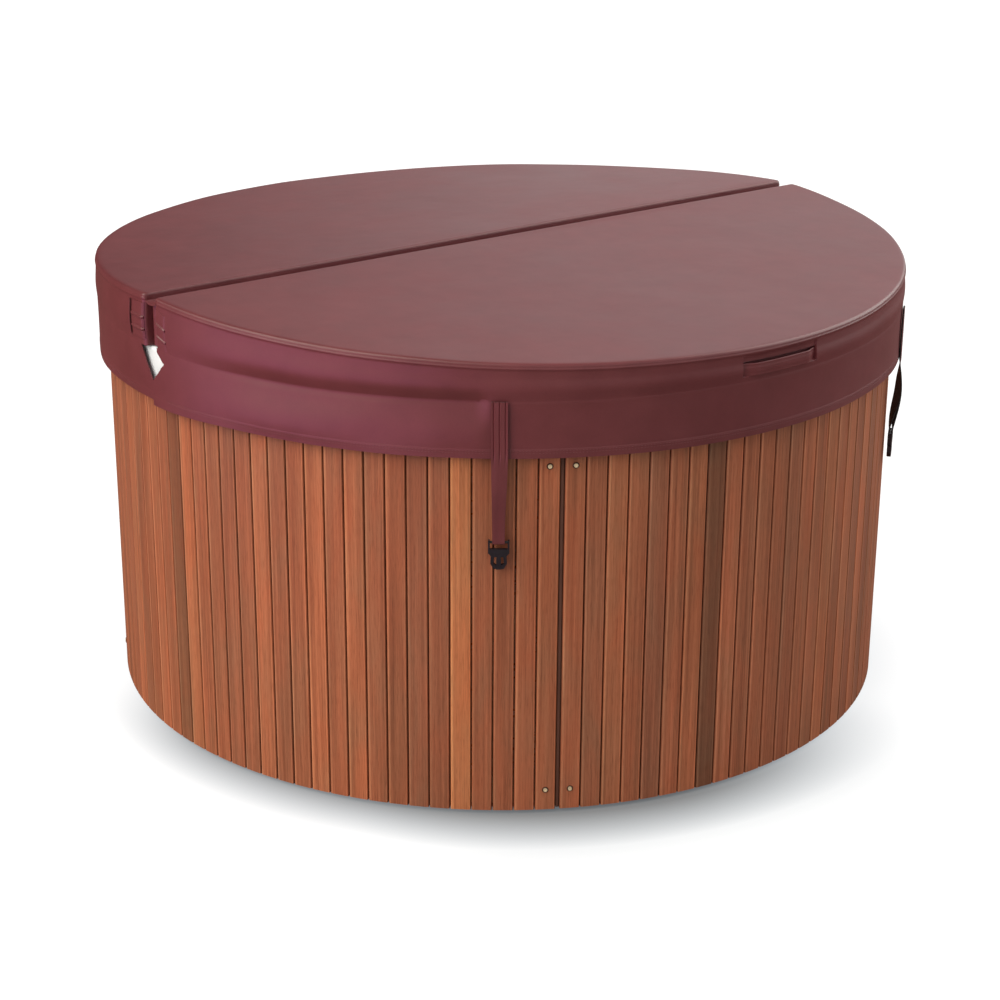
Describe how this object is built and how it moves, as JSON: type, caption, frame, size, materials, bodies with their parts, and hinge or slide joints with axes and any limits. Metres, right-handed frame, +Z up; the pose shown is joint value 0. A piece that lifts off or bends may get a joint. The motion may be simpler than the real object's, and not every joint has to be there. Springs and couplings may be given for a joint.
{
  "type": "hot tub",
  "caption": "Round hot tub clad in vertical wood slats, with a folding foam-cored vinyl cover, skirt, grab handles and tie-down straps over a moulded shell with bench and jets.",
  "frame": {"origin": "centre of the base on the floor", "axes": "+Z up; the cover's fold runs along X; -Y is the front, where the front half's handle is"},
  "size_m": [1.816, 1.846, 1.0025],
  "materials": {
    "wood": "satin",
    "timber": "matte",
    "pan_plastic": "matte",
    "screw_steel": "satin",
    "insulation": "satin",
    "acrylic": "gloss",
    "grey_plastic": "satin",
    "nozzle_plastic": "satin",
    "gasket_rubber": "matte",
    "pipe_plastic": "satin",
    "panel_plastic": "satin",
    "display_glass": "gloss",
    "lens_glass": "gloss",
    "filter_paper": "matte",
    "weir_plastic": "satin",
    "motor_paint": "satin",
    "rotor_plastic": "satin",
    "heater_steel": "satin",
    "valve_brass": "satin",
    "lever_plastic": "satin",
    "foam": "matte",
    "vinyl": "satin",
    "buckle_plastic": "satin"
  },
  "bodies": {
    "tub": {"slats_left": "wood", "slats_front": "wood", "slats_right": "wood", "slats_back": "wood", "frame_rings": "timber", "frame_studs": "timber", "slat_bands": "timber", "base_pan": "pan_plastic", "footwell_support": "pan_plastic", "slat_screws": "screw_steel", "insulation_wrap": "insulation", "tub_shell": "acrylic", "filter_housing": "acrylic", "jet_bodies": "grey_plastic", "valve_bodies": "grey_plastic", "suction_covers": "grey_plastic", "pump_wet_end": "grey_plastic", "control_box": "grey_plastic", "jet_gaskets": "gasket_rubber", "power_grommet": "gasket_rubber", "manifold_rings": "pipe_plastic", "pipe_runs": "pipe_plastic", "control_panel": "panel_plastic", "display_window": "display_glass", "light_lens": "lens_glass", "filter_cartridge": "filter_paper", "pump_motor": "motor_paint", "pump_base": "motor_paint", "heater_tube": "heater_steel", "drain_valve": "valve_brass"},
    "rotor": {"pump_rotor": "rotor_plastic"},
    "nozzle_1": {"jet_nozzle_1": "nozzle_plastic"},
    "nozzle_2": {"jet_nozzle_2": "nozzle_plastic"},
    "nozzle_3": {"jet_nozzle_3": "nozzle_plastic"},
    "nozzle_4": {"jet_nozzle_4": "nozzle_plastic"},
    "jets_button": {"button_jets": "panel_plastic"},
    "light_button": {"button_light": "panel_plastic"},
    "temp_button": {"button_temp": "panel_plastic"},
    "air_dial": {"air_knob": "nozzle_plastic"},
    "diverter_dial": {"diverter_knob": "nozzle_plastic"},
    "weir_flap": {"skimmer_weir": "weir_plastic"},
    "twist_lid": {"filter_lid": "grey_plastic"},
    "drain_tap": {"drain_lever": "lever_plastic"},
    "back_half": {"cover_back_core": "foam", "cover_back_jacket": "vinyl", "cover_back_skirt": "vinyl", "cover_back_handle": "vinyl", "cover_hinge_strip": "vinyl"},
    "front_half": {"cover_front_core": "foam", "cover_front_jacket": "vinyl", "cover_front_skirt": "vinyl", "cover_front_handle": "vinyl"},
    "tie_front_left": {"strap_front_left": "vinyl", "buckle_front_left": "buckle_plastic"},
    "tie_front_right": {"strap_front_right": "vinyl", "buckle_front_right": "buckle_plastic"},
    "tie_back_right": {"strap_back_right": "vinyl", "buckle_back_right": "buckle_plastic"},
    "tie_back_left": {"strap_back_left": "vinyl", "buckle_back_left": "buckle_plastic"}
  },
  "joints": [
    {"name": "cover_lift", "type": "slide", "parent": "tub", "child": "back_half", "axis": [0, 0, 1], "range_m": [0, 0.6]},
    {"name": "cover_fold", "type": "hinge", "parent": "back_half", "child": "front_half", "pos_m": [0, 0, 1.009], "axis": [-1, 0, 0], "range_deg": [0, 185], "deforming": ["cover_hinge_strip"]},
    {"name": "strap_front_left_swing", "type": "hinge", "parent": "front_half", "child": "tie_front_left", "pos_m": [-0.56031, -0.71717, 0.8935], "axis": [-0.788, 0.6157, 0], "range_deg": [0, 90]},
    {"name": "strap_front_right_swing", "type": "hinge", "parent": "front_half", "child": "tie_front_right", "pos_m": [0.56031, -0.71717, 0.8935], "axis": [-0.788, -0.6157, 0], "range_deg": [0, 90]},
    {"name": "strap_back_right_swing", "type": "hinge", "parent": "back_half", "child": "tie_back_right", "pos_m": [0.56031, 0.71717, 0.8935], "axis": [0.788, -0.6157, 0], "range_deg": [0, 90]},
    {"name": "strap_back_left_swing", "type": "hinge", "parent": "back_half", "child": "tie_back_left", "pos_m": [-0.56031, 0.71717, 0.8935], "axis": [0.788, 0.6157, 0], "range_deg": [0, 90]},
    {"name": "pump_spin", "type": "hinge", "parent": "tub", "child": "rotor", "pos_m": [-0.21976, -0.47128, 0.15], "axis": [-0.4226, -0.9063, 0], "continuous": true},
    {"name": "nozzle_1_turn", "type": "hinge", "parent": "tub", "child": "nozzle_1", "pos_m": [0.54447, 0.54447, 0.6], "axis": [0.7071, 0.7071, 0], "range_deg": [0, 180]},
    {"name": "nozzle_2_turn", "type": "hinge", "parent": "tub", "child": "nozzle_2", "pos_m": [-0.54447, 0.54447, 0.6], "axis": [-0.7071, 0.7071, 0], "range_deg": [0, 180]},
    {"name": "nozzle_3_turn", "type": "hinge", "parent": "tub", "child": "nozzle_3", "pos_m": [-0.54447, -0.54447, 0.6], "axis": [-0.7071, -0.7071, 0], "range_deg": [0, 180]},
    {"name": "nozzle_4_turn", "type": "hinge", "parent": "tub", "child": "nozzle_4", "pos_m": [0.54447, -0.54447, 0.6], "axis": [0.7071, -0.7071, 0], "range_deg": [0, 180]},
    {"name": "jets_button_press", "type": "slide", "parent": "tub", "child": "jets_button", "axis": [0, 0, -1], "range_m": [0, 0.0012], "stiffness_N_per_m": 900, "springref_m": -0.0012},
    {"name": "light_button_press", "type": "slide", "parent": "tub", "child": "light_button", "axis": [0, 0, -1], "range_m": [0, 0.0012], "stiffness_N_per_m": 900, "springref_m": -0.0012},
    {"name": "temp_button_press", "type": "slide", "parent": "tub", "child": "temp_button", "axis": [0, 0, -1], "range_m": [0, 0.0012], "stiffness_N_per_m": 900, "springref_m": -0.0012},
    {"name": "air_dial_turn", "type": "hinge", "parent": "tub", "child": "air_dial", "pos_m": [0.7475, 0.30201, 0.869], "axis": [0, 0, 1], "range_deg": [0, 270]},
    {"name": "diverter_dial_turn", "type": "hinge", "parent": "tub", "child": "diverter_dial", "pos_m": [0.7475, -0.30201, 0.869], "axis": [0, 0, 1], "range_deg": [0, 180]},
    {"name": "weir_swing", "type": "hinge", "parent": "tub", "child": "weir_flap", "pos_m": [0, 0.608, 0.696], "axis": [-1, 0, 0], "range_deg": [0, 65], "stiffness_Nm_per_rad": 0.15, "springref_deg": -28.65},
    {"name": "filter_lid_twist", "type": "hinge", "parent": "tub", "child": "twist_lid", "pos_m": [0, 0.678, 0.834], "axis": [0, 0, 1], "range_deg": [0, 45]},
    {"name": "drain_lever_turn", "type": "hinge", "parent": "tub", "child": "drain_tap", "pos_m": [-0.16862, 0.88355, 0.125], "axis": [0, 0, -1], "range_deg": [0, 90]}
  ]
}
